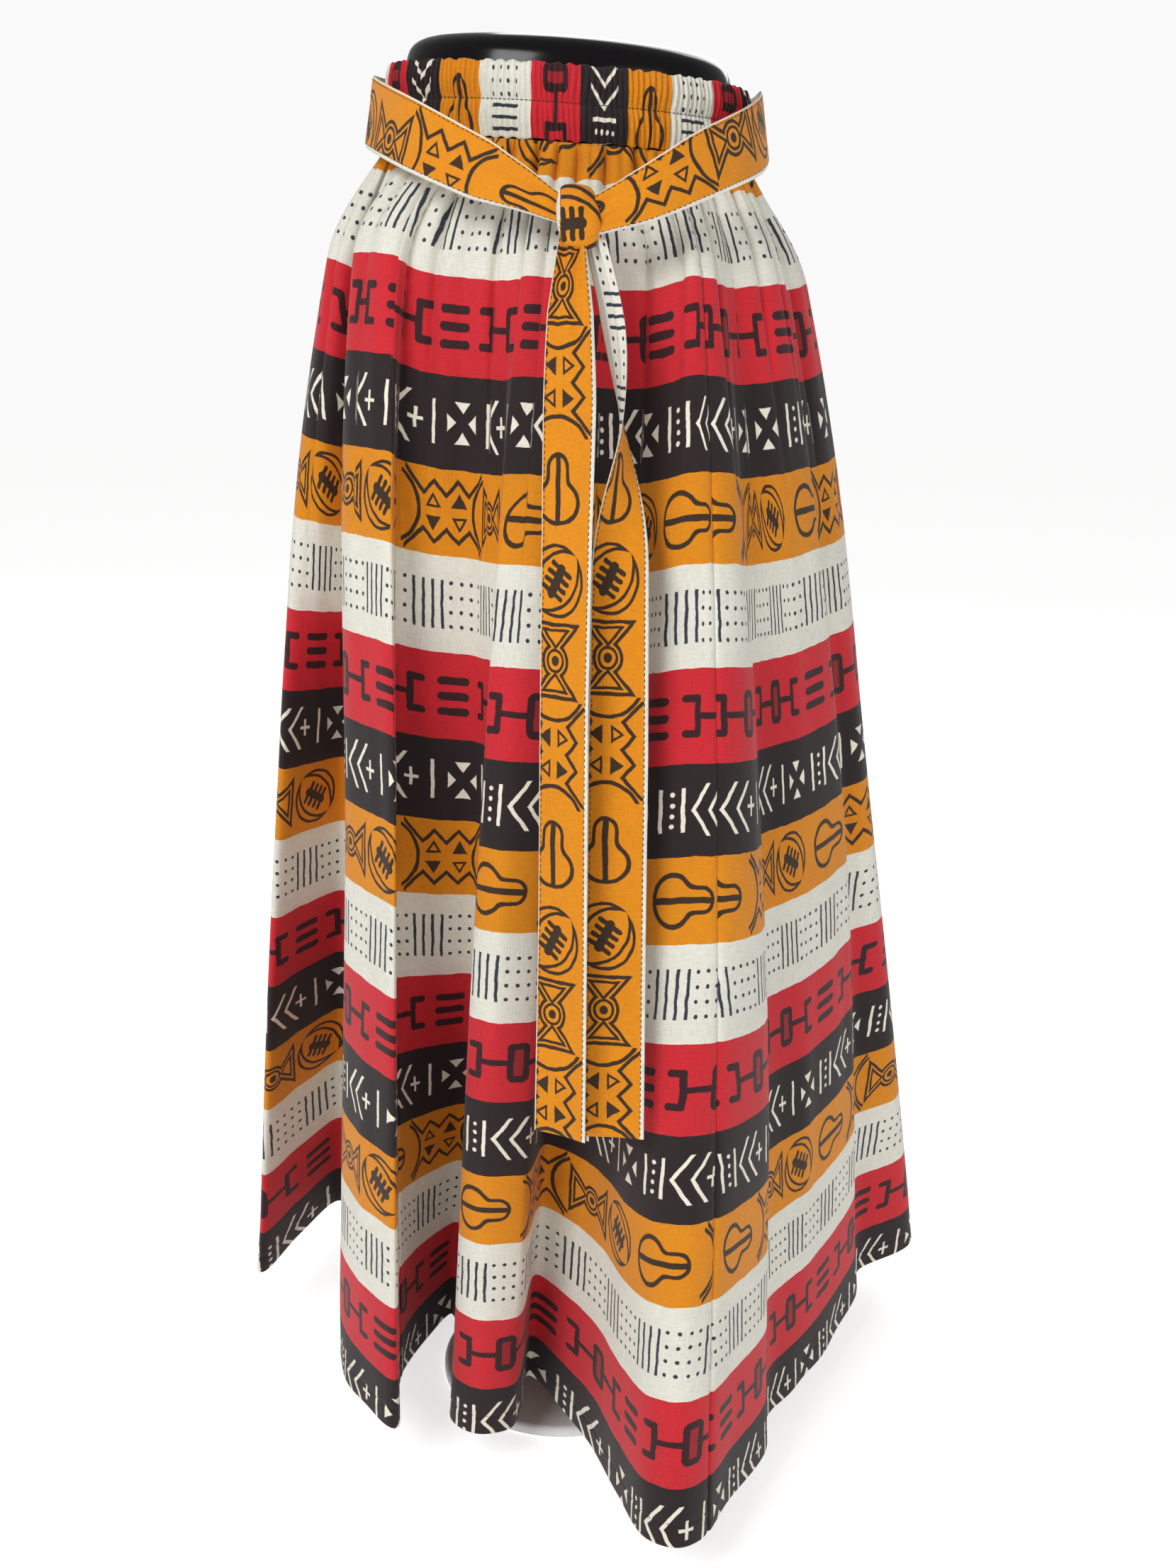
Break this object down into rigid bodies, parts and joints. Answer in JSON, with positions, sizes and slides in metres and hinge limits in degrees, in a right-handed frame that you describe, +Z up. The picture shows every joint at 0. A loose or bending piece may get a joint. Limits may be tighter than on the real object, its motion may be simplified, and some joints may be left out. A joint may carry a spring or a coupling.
{
  "type": "maxi skirt on a dress form",
  "caption": "Full-length gathered skirt in striped printed cotton with an elastic waistband and a tie belt, on a limbless dress form with a round stand.",
  "frame": {"origin": "centre of the underside of the stand's round base, on the floor", "axes": "+Z up along the pole, -Y out of the front of the skirt, +X towards the right of someone who faces the front"},
  "size_m": [0.6092, 0.5732, 1.0894],
  "materials": {
    "printed_cotton": "plain-woven cotton with horizontal printed bands of off-white, red, black and orange",
    "waistband_cotton": "the same cotton turned so that its bands stand upright, finely gathered over elastic",
    "tie_cotton": "orange printed cotton strip with narrow white edges and dark topstitching",
    "form_gloss": "smooth glossy black",
    "stand_metal": "satin steel tube",
    "stand_white": "satin white paint"
  },
  "bodies": {
    "root": {"front_left_panel": "printed_cotton", "front_centre_panel": "printed_cotton", "front_right_panel": "printed_cotton", "back_panel": "printed_cotton", "waistband": "waistband_cotton", "tie_loop": "tie_cotton", "tie_knot": "tie_cotton", "tie_tail_left": "tie_cotton", "tie_tail_right": "tie_cotton", "pocket_facing_left": "printed_cotton", "pocket_facing_right": "printed_cotton", "dress_form": "form_gloss", "stand_pole": "stand_metal", "stand_base": "stand_white"}
  },
  "joints": []
}
